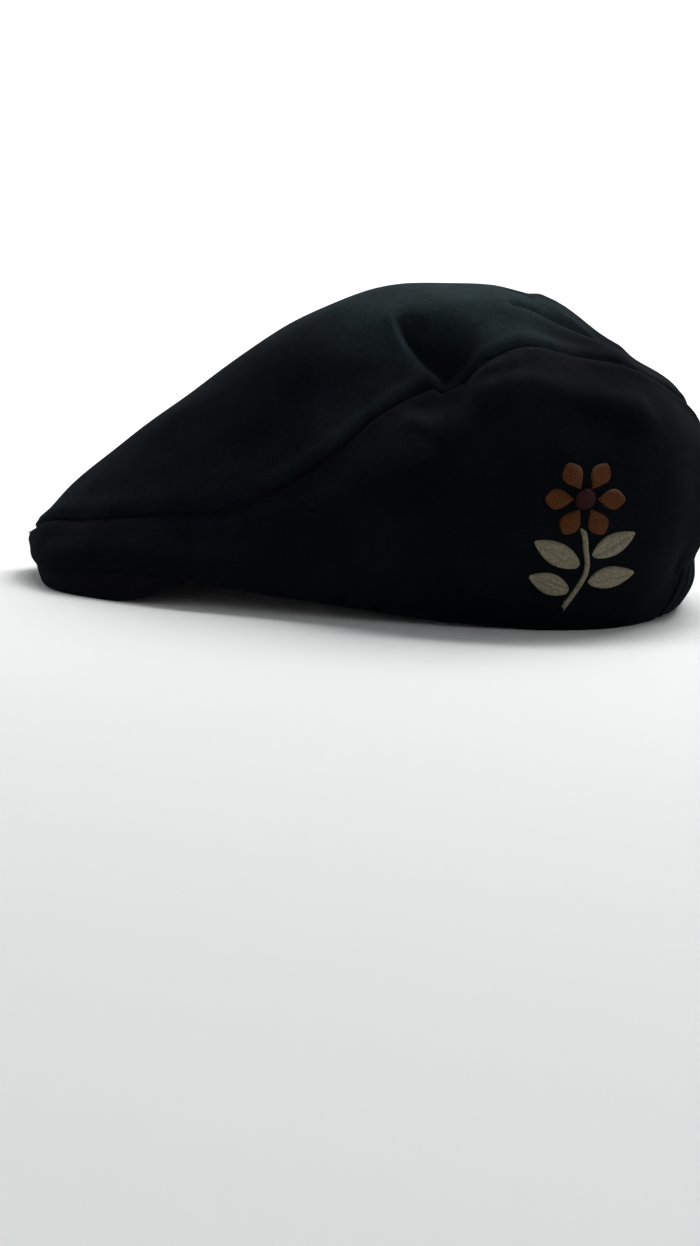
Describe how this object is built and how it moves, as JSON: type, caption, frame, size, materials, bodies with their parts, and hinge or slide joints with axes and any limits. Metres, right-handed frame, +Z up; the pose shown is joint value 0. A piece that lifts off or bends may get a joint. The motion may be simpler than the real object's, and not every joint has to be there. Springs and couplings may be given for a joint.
{
  "type": "flat cap",
  "caption": "Soft black cloth flat cap: long top panel, side panels, drooping peak, gathered elastic band at the back and an embroidered flower sprig.",
  "frame": {"origin": "on the surface that the cap rests on, below the middle of its length and width", "axes": "+Z up, +Y towards the back with the peak at -Y, +X towards the wearer's left, where the embroidery is"},
  "size_m": [0.193, 0.2739, 0.121],
  "materials": {
    "top_cloth": "soft matt napped cloth, black with a faint teal sheen",
    "side_cloth": "soft matt napped cloth, black",
    "peak_cloth": "the same cloth over a stiff board, black",
    "band_cloth": "gathered cloth casing over elastic, black",
    "cream_thread": "satin-stitched thread, cream",
    "rust_thread": "satin-stitched thread, rust",
    "wine_thread": "satin-stitched thread, dark wine"
  },
  "bodies": {
    "root": {"top_panel": "top_cloth", "side_panel_left": "side_cloth", "side_panel_right": "side_cloth", "peak": "peak_cloth", "back_band": "band_cloth", "sprig_stem": "cream_thread", "leaf_low_front": "cream_thread", "leaf_low_back": "cream_thread", "leaf_mid_front": "cream_thread", "leaf_mid_back": "cream_thread", "petal_1": "rust_thread", "petal_2": "rust_thread", "petal_3": "rust_thread", "petal_4": "rust_thread", "petal_5": "rust_thread", "petal_6": "rust_thread", "flower_heart": "wine_thread"}
  },
  "joints": []
}
